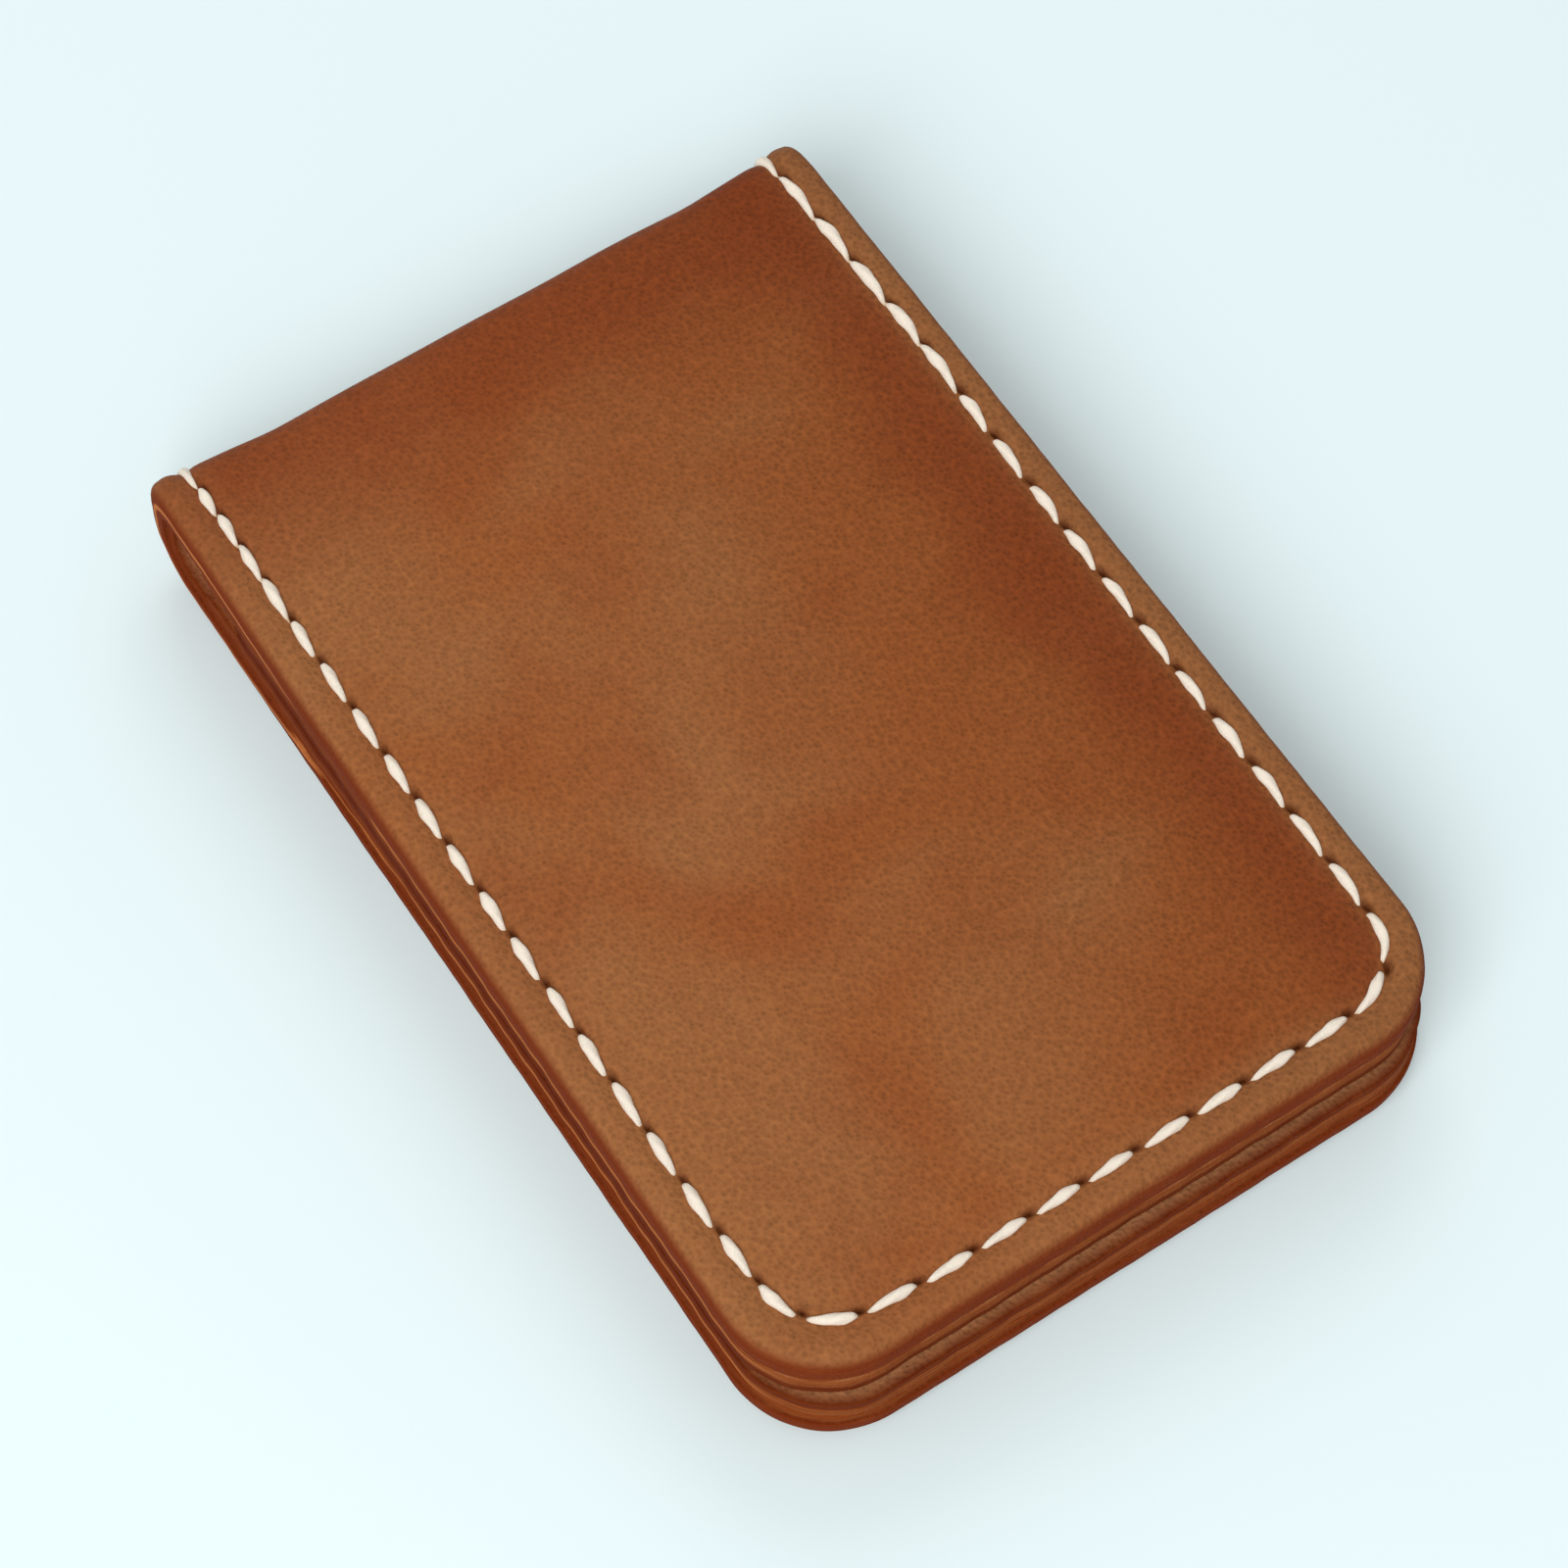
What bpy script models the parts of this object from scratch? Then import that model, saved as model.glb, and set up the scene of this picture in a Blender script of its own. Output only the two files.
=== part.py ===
"""Bifold business card case in saddle-stitched leather, closed, lying on its back half.

Every leather sheet is drawn flat first, in pattern coordinates: across the case, along the grain
from the middle of the spine, and depth below the outer grain. It is then cut at the hinge planes
and folded round the spine. The spine end is +Y, the free end is -Y, +Z is up, and the origin is on
the ground under the middle of the case. All sizes are in millimetres until the mesh is made.
"""

import math
from dataclasses import dataclass

import bmesh
import bpy
from mathutils import Vector

METRES = 0.001

# The case
WIDTH = 66.0
LENGTH = 101.4
FRONT_SHORTFALL = 1.1
CORNER_RADIUS = 9.5
PARTING_GAP = 0.4
LAYER_GAP = 0.25
COVER_THICKNESS = 2.4
LINING_THICKNESS = 1.0
POCKET_THICKNESS = 1.075
INNER_INSET = 0.3
EDGE_ROUNDING = 0.8
INNER_ROUNDING = 0.2

# The seam
SEAM_MARGIN = 3.5
PANEL_STITCHES = 46
GROOVE_HALF_WIDTH = 1.05
GROOVE_FLOOR_HALF_WIDTH = 0.85
COVER_GROOVE_DEPTH = 0.8
INNER_GROOVE_DEPTH = 0.5
OUTER_STITCH_HEIGHT = 0.55
INNER_STITCH_HEIGHT = 0.25
STITCH_HALF_WIDTH = 0.5
STITCH_SHARE_OF_PITCH = 0.76
STITCH_SLANT = 0.14
THREAD_SIDES = 6
THIN_SHARE = 0.4
END_DIP = 0.06

# The fold: three slats of spine leather turn on four hinges, one eighth of a turn each
SLAT_TURN = math.radians(45)
HINGE_ANGLES = [SLAT_TURN * (place - 1.5) for place in range(4)]
HINGE_GAP = 0.3
FACETS_PER_SLAT = 4

# The pockets: stitches from the spine to each mouth, and how far the mouth dips in the middle
POCKET_MOUTHS = {"card_pocket": 1, "short_pocket": 2}
MOUTH_DIPS = {"card_pocket": (15.0, 10.0), "short_pocket": (25.0, 30.0)}
MOUTH_FACETS = 16
GROOVE_RUN_IN = (2.5, 3.5)

CORNER_FACETS = 8
TOLERANCE = 1e-4

# Depths of the layers below the outer grain
LINING_TOP = COVER_THICKNESS + LAYER_GAP
LINING_BOTTOM = LINING_TOP + LINING_THICKNESS
CARD_POCKET_TOP = LINING_BOTTOM + LAYER_GAP
CARD_POCKET_BOTTOM = CARD_POCKET_TOP + POCKET_THICKNESS
SHORT_POCKET_TOP = CARD_POCKET_BOTTOM + LAYER_GAP
SHORT_POCKET_BOTTOM = SHORT_POCKET_TOP + POCKET_THICKNESS

SPINE_RADIUS = SHORT_POCKET_BOTTOM + PARTING_GAP / 2
SPINE_REACH = SPINE_RADIUS * math.pi / 2
BACK_REACH = SPINE_REACH + LENGTH - SPINE_RADIUS
FRONT_REACH = BACK_REACH - FRONT_SHORTFALL
PANEL_START = SPINE_RADIUS * abs(HINGE_ANGLES[0])

SEAM_RADIUS = CORNER_RADIUS - SEAM_MARGIN
SEAM_ARC = SEAM_RADIUS * math.pi / 2
SEAM_BOTTOM = WIDTH - 2 * CORNER_RADIUS

COLOURS = {
    "cover_leather": ((0.33, 0.115, 0.04), 0.55),
    "lining_leather": ((0.38, 0.15, 0.065), 0.7),
    "pocket_leather": ((0.36, 0.135, 0.052), 0.65),
    "waxed_thread": ((0.88, 0.79, 0.64), 0.6),
}


@dataclass(frozen=True)
class Half:
    """One half of the pattern: which way it runs from the spine, and how far."""

    name: str
    end: int
    reach: float

    @property
    def straight(self):
        """How far the seam runs from the middle of the spine to the corner."""
        return self.reach - CORNER_RADIUS

    @property
    def seam_length(self):
        """The seam from the spine down one side, round the free end and back to the spine."""
        return 2 * self.straight + 2 * SEAM_ARC + SEAM_BOTTOM

    @property
    def pitch(self):
        """The length of one stitch with its gap."""
        return (self.seam_length - 2 * PANEL_START) / PANEL_STITCHES

    def mouth(self, pocket):
        """How far along the pattern a pocket's mouth lies, at a gap between two stitches."""
        return PANEL_START + POCKET_MOUTHS[pocket] * self.pitch


@dataclass
class Body:
    """A rigid group of pieces: its stretch of the pattern, and the empty on its hinge axis."""

    name: str
    low: float
    high: float
    pivot: Vector
    holder: bpy.types.Object


FRONT = Half("front", 1, FRONT_REACH)
BACK = Half("back", -1, BACK_REACH)


def folded(across, along, depth):
    """The place in the closed case, in millimetres, of a point of the flat pattern."""
    half_turn = max(-math.pi / 2, min(math.pi / 2, along / SPINE_RADIUS))
    straight = abs(along) - SPINE_REACH if abs(along) > SPINE_REACH else 0.0
    reach = SPINE_RADIUS - depth
    from_spine = SPINE_RADIUS - reach * math.cos(half_turn) + straight
    height = SPINE_RADIUS + reach * math.sin(half_turn)
    return Vector((across, LENGTH / 2 - from_spine, height))


def make_materials():
    """One Principled material for each kind of leather and for the thread."""
    for name, (colour, roughness) in COLOURS.items():
        material = bpy.data.materials.new(name)
        material.use_nodes = True
        shader = material.node_tree.nodes["Principled BSDF"]
        shader.inputs["Base Color"].default_value = (*colour, 1.0)
        shader.inputs["Roughness"].default_value = roughness
        shader.inputs["Metallic"].default_value = 0.0


def make_bodies():
    """The back half, the three spine slats and the front half, each holder on its hinge axis."""
    edges = [-BACK_REACH, *(SPINE_RADIUS * angle for angle in HINGE_ANGLES), FRONT_REACH]
    bodies = []
    parent = None
    for index, name in enumerate(["back", "fold_1", "fold_2", "fold_3", "front"]):
        pivot = folded(0.0, edges[index], 0.0) if index else Vector()
        holder = bpy.data.objects.new(name + "_hinge" if index else name + "_base", None)
        bpy.context.collection.objects.link(holder)
        holder.parent = parent
        holder.location = (pivot - (bodies[-1].pivot if bodies else pivot)) * METRES
        bodies.append(Body(name, edges[index], edges[index + 1], pivot, holder))
        parent = holder
    return bodies


def ring(mesh, offset, depth):
    """A closed ring of vertices, the case's outline drawn in by an offset, at one depth."""
    radius = CORNER_RADIUS - offset
    centre_across = WIDTH / 2 - CORNER_RADIUS
    vertices = []
    for corner, (side, half) in enumerate([(1, FRONT), (-1, FRONT), (-1, BACK), (1, BACK)]):
        for facet in range(CORNER_FACETS + 1):
            angle = math.pi / 2 * (corner + facet / CORNER_FACETS)
            across = side * centre_across + radius * math.cos(angle)
            along = half.end * half.straight + radius * math.sin(angle)
            vertices.append(mesh.verts.new((across, along, depth)))
    return vertices


def flat_sheet(profile):
    """The whole flat pattern of one layer, lofted through a profile of (offset, depth) pairs."""
    mesh = bmesh.new()
    rings = [ring(mesh, offset, depth) for offset, depth in profile]
    for first, second in zip(rings, rings[1:]):
        for index in range(len(first)):
            after = (index + 1) % len(first)
            mesh.faces.new((first[index], first[after], second[after], second[index]))
    mesh.faces.new(rings[0])
    mesh.faces.new(rings[-1])
    return mesh


def cover_profile():
    """The cover's section, from the middle of the grain side round the edge to the flesh side."""
    return [
        (SEAM_MARGIN + GROOVE_HALF_WIDTH, 0.0),
        (SEAM_MARGIN + GROOVE_FLOOR_HALF_WIDTH, COVER_GROOVE_DEPTH),
        (SEAM_MARGIN - GROOVE_FLOOR_HALF_WIDTH, COVER_GROOVE_DEPTH),
        (SEAM_MARGIN - GROOVE_HALF_WIDTH, 0.0),
        (EDGE_ROUNDING, 0.0),
        (EDGE_ROUNDING * 0.3, EDGE_ROUNDING * 0.3),
        (0.0, EDGE_ROUNDING),
        (0.0, COVER_THICKNESS - INNER_ROUNDING),
        (INNER_ROUNDING, COVER_THICKNESS),
    ]


def inner_profile(top, bottom):
    """The section of an inner layer, with its stitching groove on the side that faces the cards."""
    floor = bottom - INNER_GROOVE_DEPTH
    return [
        (INNER_INSET + INNER_ROUNDING, top),
        (INNER_INSET, top + INNER_ROUNDING),
        (INNER_INSET, bottom - INNER_ROUNDING),
        (INNER_INSET + INNER_ROUNDING, bottom),
        (SEAM_MARGIN - GROOVE_HALF_WIDTH, bottom),
        (SEAM_MARGIN - GROOVE_FLOOR_HALF_WIDTH, floor),
        (SEAM_MARGIN + GROOVE_FLOOR_HALF_WIDTH, floor),
        (SEAM_MARGIN + GROOVE_HALF_WIDTH, bottom),
    ]


def cut_along(mesh, along, drop_above=False, drop_below=False):
    """Cuts the flat sheet straight across, and closes the end where one side is dropped."""
    everything = mesh.verts[:] + mesh.edges[:] + mesh.faces[:]
    bmesh.ops.bisect_plane(
        mesh,
        geom=everything,
        dist=TOLERANCE,
        plane_co=(0.0, along, 0.0),
        plane_no=(0.0, 1.0, 0.0),
        clear_outer=drop_above,
        clear_inner=drop_below,
    )
    if drop_above or drop_below:
        rim = [edge for edge in mesh.edges if edge.is_boundary]
        bmesh.ops.holes_fill(mesh, edges=rim, sides=0)


def trimmed_sheet(profile, low, high):
    """The stretch of a flat layer between two cuts, creased where it bends round the spine."""
    mesh = flat_sheet(profile)
    if high < FRONT_REACH:
        cut_along(mesh, high, drop_above=True)
    if low > -BACK_REACH:
        cut_along(mesh, low, drop_below=True)
    facet = SLAT_TURN / FACETS_PER_SLAT
    facet_count = round(math.pi / 2 / facet)
    for index in range(-facet_count, facet_count + 1):
        along = SPINE_RADIUS * facet * index
        if low + TOLERANCE < along < high - TOLERANCE:
            cut_along(mesh, along)
    return mesh


def fill_groove(mesh, half, bottom, covered_from):
    """Flattens the stitching groove of one half where the next layer covers it."""
    for run_in in GROOVE_RUN_IN:
        cut_along(mesh, half.end * (covered_from + run_in))
    floor = bottom - INNER_GROOVE_DEPTH
    for vertex in mesh.verts:
        covered = vertex.co.y * half.end > covered_from + GROOVE_RUN_IN[1] - TOLERANCE
        if covered and abs(vertex.co.z - floor) < TOLERANCE:
            vertex.co.z = bottom


def shape_mouth(mesh, half, pocket):
    """Dips the straight mouth of a pocket into a smooth curve in the middle."""
    half_width, dip = MOUTH_DIPS[pocket]
    mouth = half.end * half.mouth(pocket)
    for index in range(MOUTH_FACETS + 1):
        across = half_width * (2 * index / MOUTH_FACETS - 1)
        wall = [face for face in mesh.faces if all(is_at(vertex, mouth) for vertex in face.verts)]
        edges = {edge for face in wall for edge in face.edges}
        vertices = {vertex for face in wall for vertex in face.verts}
        bmesh.ops.bisect_plane(
            mesh,
            geom=[*wall, *edges, *vertices],
            dist=TOLERANCE,
            plane_co=(across, 0.0, 0.0),
            plane_no=(1.0, 0.0, 0.0),
        )
    for vertex in mesh.verts:
        if is_at(vertex, mouth) and abs(vertex.co.x) < half_width:
            share = 0.5 + 0.5 * math.cos(math.pi * vertex.co.x / half_width)
            vertex.co.y += half.end * dip * share


def is_at(vertex, along):
    """Whether a vertex of the flat pattern lies on one straight cut."""
    return abs(vertex.co.y - along) < TOLERANCE


def add_piece(name, mesh, body, material):
    """Folds a flat mesh, makes it a named object of its body, and shades its curves smooth."""
    for vertex in mesh.verts:
        vertex.co = (folded(*vertex.co) - body.pivot) * METRES
    bmesh.ops.recalc_face_normals(mesh, faces=mesh.faces)
    if mesh.calc_volume(signed=True) < 0:
        bmesh.ops.reverse_faces(mesh, faces=mesh.faces)
    data = bpy.data.meshes.new(name)
    mesh.to_mesh(data)
    mesh.free()
    data.shade_smooth()
    data.set_sharp_from_angle(angle=math.radians(40))
    data.materials.append(bpy.data.materials[material])
    piece = bpy.data.objects.new(name, data)
    bpy.context.collection.objects.link(piece)
    piece.parent = body.holder


def body_ends(body, inner_radius):
    """The body's stretch of the pattern, drawn in by half the hinge gap at its inner radius."""
    trim = SPINE_RADIUS * HINGE_GAP / 2 / inner_radius
    low = body.low + trim if body.low > -BACK_REACH else body.low
    high = body.high - trim if body.high < FRONT_REACH else body.high
    return low, high


def add_cover(body):
    """The body's stretch of the one-piece outer cover."""
    low, high = body_ends(body, SPINE_RADIUS - COVER_THICKNESS)
    mesh = trimmed_sheet(cover_profile(), low, high)
    add_piece(body.name + "_cover", mesh, body, "cover_leather")


def add_lining(body):
    """The body's stretch of the lining, which runs through the fold inside the cover."""
    low, high = body_ends(body, SPINE_RADIUS - LINING_BOTTOM)
    mesh = trimmed_sheet(inner_profile(LINING_TOP, LINING_BOTTOM), low, high)
    for half in (FRONT, BACK):
        if body.name == half.name:
            fill_groove(mesh, half, LINING_BOTTOM, half.mouth("card_pocket"))
    add_piece(body.name + "_lining", mesh, body, "lining_leather")


def add_pocket(body, half, pocket, top, bottom, covered_from):
    """A pocket panel on one half, from its curved mouth to the free end."""
    mouth = half.mouth(pocket)
    ends = (mouth, FRONT_REACH) if half is FRONT else (-BACK_REACH, -mouth)
    mesh = trimmed_sheet(inner_profile(top, bottom), *ends)
    fill_groove(mesh, half, bottom, covered_from)
    shape_mouth(mesh, half, pocket)
    add_piece(f"{body.name}_{pocket}", mesh, body, "pocket_leather")


def seam_point(half, distance, aside):
    """A point of the flat pattern, a distance down one half's seam and a step aside from it."""
    straight = min(distance, half.straight)
    first_arc = min(max(distance - half.straight, 0.0), SEAM_ARC)
    bottom = min(max(distance - half.straight - SEAM_ARC, 0.0), SEAM_BOTTOM)
    second_arc = min(max(distance - half.straight - SEAM_ARC - SEAM_BOTTOM, 0.0), SEAM_ARC)
    last = max(distance - half.seam_length + half.straight, 0.0)
    angle = (first_arc + second_arc) / SEAM_RADIUS
    radius = SEAM_RADIUS - aside
    across = SEAM_BOTTOM / 2 - bottom + radius * math.cos(angle)
    along = straight - last + radius * math.sin(angle)
    return across, along * half.end


def thread_section(mesh, half, distance, aside, half_width, top, height):
    """A six-sided ring of vertices round the thread, at one place on the seam."""
    section = []
    for index in range(THREAD_SIDES):
        angle = 2 * math.pi * index / THREAD_SIDES
        across, along = seam_point(half, distance, aside + half_width * math.cos(angle))
        flatness = math.sin(angle) / math.sin(math.pi / 3)
        section.append(mesh.verts.new((across, along, top + height / 2 * (1 - flatness))))
    return section


def thread_row(half, start, pitch, count, top, height):
    """A row of slanted stitches as one thread: each swells between two thin dips at its holes."""
    mesh = bmesh.new()
    swelling = pitch * STITCH_SHARE_OF_PITCH * 0.28
    lean = STITCH_SLANT * swelling
    thin = height * THIN_SHARE
    dip = (STITCH_HALF_WIDTH * THIN_SHARE, top + height - thin, thin)
    swell = (STITCH_HALF_WIDTH, top, height)
    sections = [thread_section(mesh, half, start + pitch * END_DIP, 0.0, *dip)]
    for index in range(count):
        middle = start + (index + 0.5) * pitch
        sections.append(thread_section(mesh, half, middle - swelling, -lean, *swell))
        sections.append(thread_section(mesh, half, middle + swelling, lean, *swell))
        step = 0.5 if index + 1 < count else 0.5 - END_DIP
        sections.append(thread_section(mesh, half, middle + step * pitch, 0.0, *dip))
    for first, second in zip(sections, sections[1:]):
        for index in range(THREAD_SIDES):
            after = (index + 1) % THREAD_SIDES
            mesh.faces.new((first[index], first[after], second[after], second[index]))
    mesh.faces.new(sections[0])
    mesh.faces.new(sections[-1])
    return mesh


def inner_row(body, half):
    """The row of stitches that shows inside, stepping down from layer to layer at the mouths."""
    mesh = thread_row(half, PANEL_START, half.pitch, PANEL_STITCHES, 0.0, INNER_STITCH_HEIGHT)
    for vertex in mesh.verts:
        reach = vertex.co.y * half.end
        surface = SHORT_POCKET_BOTTOM
        if reach < half.mouth("short_pocket") - TOLERANCE:
            surface = CARD_POCKET_BOTTOM
        if reach < half.mouth("card_pocket") - TOLERANCE:
            surface = LINING_BOTTOM
        vertex.co.z += surface - INNER_STITCH_HEIGHT
    add_piece(body.name + "_inner_stitches", mesh, body, "waxed_thread")


def outer_row(body, half):
    """The row of stitches that shows on the cover of one half."""
    mesh = thread_row(half, PANEL_START, half.pitch, PANEL_STITCHES, 0.0, OUTER_STITCH_HEIGHT)
    add_piece(body.name + "_outer_stitches", mesh, body, "waxed_thread")


def slat_stitches(body):
    """The single stitches that cross one spine slat, on the left and right, outside and inside."""
    length = body.high - body.low
    inside = LINING_BOTTOM - INNER_STITCH_HEIGHT
    # The right seam's distance runs from the spine down the case, the left seam's back up to it.
    starts = {"right": body.low, "left": FRONT.seam_length - body.high}
    for side, start in starts.items():
        outer = thread_row(FRONT, start, length, 1, 0.0, OUTER_STITCH_HEIGHT)
        add_piece(f"{body.name}_{side}_outer_stitch", outer, body, "waxed_thread")
        inner = thread_row(FRONT, start, length, 1, inside, INNER_STITCH_HEIGHT)
        add_piece(f"{body.name}_{side}_inner_stitch", inner, body, "waxed_thread")


def add_half(body, half):
    """The two pockets of one half, and its outer and inner rows of stitches."""
    covered_from = half.mouth("short_pocket")
    add_pocket(body, half, "card_pocket", CARD_POCKET_TOP, CARD_POCKET_BOTTOM, covered_from)
    add_pocket(body, half, "short_pocket", SHORT_POCKET_TOP, SHORT_POCKET_BOTTOM, half.reach)
    outer_row(body, half)
    inner_row(body, half)


def main():
    """Builds the case body by body."""
    for thing in list(bpy.data.objects):
        bpy.data.objects.remove(thing)
    make_materials()
    for body in make_bodies():
        add_cover(body)
        add_lining(body)
        if body.name == FRONT.name:
            add_half(body, FRONT)
        elif body.name == BACK.name:
            add_half(body, BACK)
        else:
            slat_stitches(body)


main()
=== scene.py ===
"""A saddle-stitched leather business card case, dressed for its studio picture.

Each layer of leather is drawn flat first, as a maker cuts it: across the case, along the grain from
the middle of the spine, and deep below the outer grain. The soft, uneven relief, the stitching
channel and the awl holes are pressed into the flat sheet, which also carries marks for its edge
colour and for the painted shade in the awl holes; it is then folded round the spine and cut where
the spine bends. Sizes are in millimetres until a mesh is made.
"""

import sys  # noqa: E702

import logging
import math
from dataclasses import dataclass
from enum import Enum
from typing import Any, Iterable, Sequence

import bmesh
import bpy
import numpy as np
from mathutils import Matrix, Vector


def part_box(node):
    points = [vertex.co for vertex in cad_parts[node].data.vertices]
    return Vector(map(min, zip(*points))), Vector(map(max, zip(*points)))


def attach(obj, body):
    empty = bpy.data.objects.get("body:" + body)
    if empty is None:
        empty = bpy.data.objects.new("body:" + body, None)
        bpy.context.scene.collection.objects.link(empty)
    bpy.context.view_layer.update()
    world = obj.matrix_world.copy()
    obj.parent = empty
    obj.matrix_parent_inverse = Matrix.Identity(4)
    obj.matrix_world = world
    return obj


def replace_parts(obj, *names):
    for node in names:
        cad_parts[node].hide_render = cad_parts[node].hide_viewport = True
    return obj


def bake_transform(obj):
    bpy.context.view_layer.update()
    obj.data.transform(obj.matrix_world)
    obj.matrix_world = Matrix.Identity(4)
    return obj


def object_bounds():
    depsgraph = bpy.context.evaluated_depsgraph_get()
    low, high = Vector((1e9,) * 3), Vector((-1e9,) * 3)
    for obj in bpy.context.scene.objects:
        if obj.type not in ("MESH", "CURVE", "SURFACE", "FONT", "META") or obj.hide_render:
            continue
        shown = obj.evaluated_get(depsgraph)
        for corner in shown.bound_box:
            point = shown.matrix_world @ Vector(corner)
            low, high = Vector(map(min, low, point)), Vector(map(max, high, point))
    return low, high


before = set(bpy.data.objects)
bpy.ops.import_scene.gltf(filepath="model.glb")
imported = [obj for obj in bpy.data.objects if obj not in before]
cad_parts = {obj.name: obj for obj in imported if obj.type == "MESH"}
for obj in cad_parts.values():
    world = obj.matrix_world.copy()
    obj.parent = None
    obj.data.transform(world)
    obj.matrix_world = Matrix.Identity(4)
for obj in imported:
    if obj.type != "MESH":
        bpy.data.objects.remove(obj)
CAD_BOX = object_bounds()

LOG = logging.getLogger("card_case")
METRES = 0.001
HALF_TURN = math.pi / 2

Array = np.ndarray
Colour = tuple[float, float, float]


def step(low: float, high: float, value: Array) -> Array:
    """A smooth step of an array from 0 at low to 1 at high."""
    share = np.clip((value - low) / (high - low), 0.0, 1.0)
    return share * share * (3 - 2 * share)


def hump(value: Array, middle: float, width: float) -> Array:
    """A smooth hump of an array, 1 at the middle and gone a few widths away from it."""
    return np.exp(-((value - middle) / width) ** 2)


def wander(distance: Array, seed: int, shortest: float, longest: float) -> Array:
    """A smooth, seeded, uneven line that stays between about -1 and 1.

    Args:
        distance: Places along the line, in millimetres.
        seed: Chooses one of the lines.
        shortest: The shortest wave in it.
        longest: The longest wave in it.

    Returns:
        The line's height at each place.
    """
    dice = np.random.default_rng(seed)
    waves = np.geomspace(shortest, longest, 5)
    phases = dice.uniform(0.0, 2 * math.pi, len(waves))
    total = sum(np.sin(distance * 2 * math.pi / wave + phase) for wave, phase in zip(waves, phases))
    return total / len(waves) * 1.4


class Side(Enum):
    """The three stretches of a half's seam, in sewing order from the spine."""

    RIGHT = "right"
    END = "end"
    LEFT = "left"


@dataclass(frozen=True)
class Swerve:
    """A stretch where the hand-marked seam swerves: how far outward, where, and over what length."""

    outward: float
    middle: float
    width: float

    def at(self, distance: Array) -> Array:
        """How far outward the seam is pushed at some distances."""
        return self.outward * hump(distance, self.middle, self.width)


@dataclass(frozen=True)
class Half:
    """One half of the flat pattern."""

    name: str
    end: int
    reach: float
    corner: float
    width: float
    margin: float
    panel_start: float
    stitches: int = 46
    backstitched: int = 3
    backstitches: int = 4
    drift: float = 3.0
    unevenness: float = 0.12
    backstitch_taper: float = 0.22
    right_stray: float = 0.32
    left_stray: float = 0.06
    corner_cuts: tuple[tuple[float, float], ...] = ((0.3, 6.0), (0.75, 7.0))
    bulge: Swerve = Swerve(0.3, 30.0, 11.0)
    spine_pinch: Swerve = Swerve(-0.35, 0.0, 14.0)

    @property
    def straight(self) -> float:
        """How far the side runs straight, from the middle of the spine."""
        return self.reach - self.corner

    @property
    def bend(self) -> float:
        """The radius of the seam at a corner."""
        return self.corner - self.margin

    @property
    def arc(self) -> float:
        """The length of the seam round one corner."""
        return self.bend * HALF_TURN

    @property
    def bottom(self) -> float:
        """The straight stretch of seam along the free end."""
        return self.width - 2 * self.corner

    @property
    def seam(self) -> float:
        """The whole seam, from the spine down one side, round the end and back."""
        return 2 * (self.straight + self.arc) + self.bottom

    def seam_point(self, distance: Array, aside: Array) -> tuple[Array, Array]:
        """Points of the flat pattern beside the seam.

        Args:
            distance: How far along the seam, from the middle of the spine's right end.
            aside: How far from the seam towards the middle of the case.

        Returns:
            The points' places across and along the pattern.
        """
        straight = np.minimum(distance, self.straight)
        first = np.clip(distance - self.straight, 0.0, self.arc)
        bottom = np.clip(distance - self.straight - self.arc, 0.0, self.bottom)
        second = np.clip(distance - self.straight - self.arc - self.bottom, 0.0, self.arc)
        last = np.maximum(distance - self.seam + self.straight, 0.0)
        angle = (first + second) / self.bend
        radius = self.bend - aside + self.stray(distance)
        across = self.bottom / 2 - bottom + radius * np.cos(angle)
        along = straight - last + radius * np.sin(angle)
        return across, along * self.end

    def stray(self, distance: Array) -> Array:
        """How far the seam strays from its margin towards the edge, as a hand-marked line does."""
        last_side = self.seam - self.straight
        left = step(last_side - 14.0, last_side + 4.0, distance)
        corner = self.straight + self.arc / 2
        cuts = np.zeros_like(distance)
        for (depth, width), run in zip(self.corner_cuts, (distance, self.seam - distance)):
            cuts = cuts + depth * hump(run, corner, width)
        swerves = self.bulge.at(distance) + self.spine_pinch.at(distance)
        return self.right_stray * (1 - left) + self.left_stray * left + swerves - cuts

    def holes(self) -> Array:
        """The distances along the seam of the awl holes, the four on the spine's slats included."""
        spine = self.panel_start / 3
        first, last = self.panel_start, self.seam - self.panel_start
        share = np.linspace(0.0, 1.0, self.stitches + 1)
        panel = first + (last - first) * share + self.drift * np.sin(math.pi * share)
        dice = np.random.default_rng(3 + self.end)
        panel[1:-1] += dice.uniform(-self.unevenness, self.unevenness, len(panel) - 2)
        share = np.linspace(0.0, 1.0, self.backstitches + 1)
        share = share + self.backstitch_taper * share * (1 - share)
        tacks = panel[-1 - self.backstitched] * (1 - share) + last * share
        panel = np.concatenate([panel[:-1 - self.backstitched], tacks])
        return np.concatenate([[-spine, spine], panel, [self.seam - spine, self.seam + spine]])

    def is_backstitched(self, distance: float) -> bool:
        """Whether a place on the seam is in the close stitches that lock the thread's end."""
        pitch = (self.seam - 2 * self.panel_start) / self.stitches
        return self.seam - self.panel_start - self.backstitched * pitch < distance

    def side_of(self, distance: float) -> Side:
        """The stretch of seam that a distance lies on."""
        if distance < self.straight + self.arc / 2:
            return Side.RIGHT
        return Side.END if distance < self.seam - self.straight - self.arc / 2 else Side.LEFT


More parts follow.
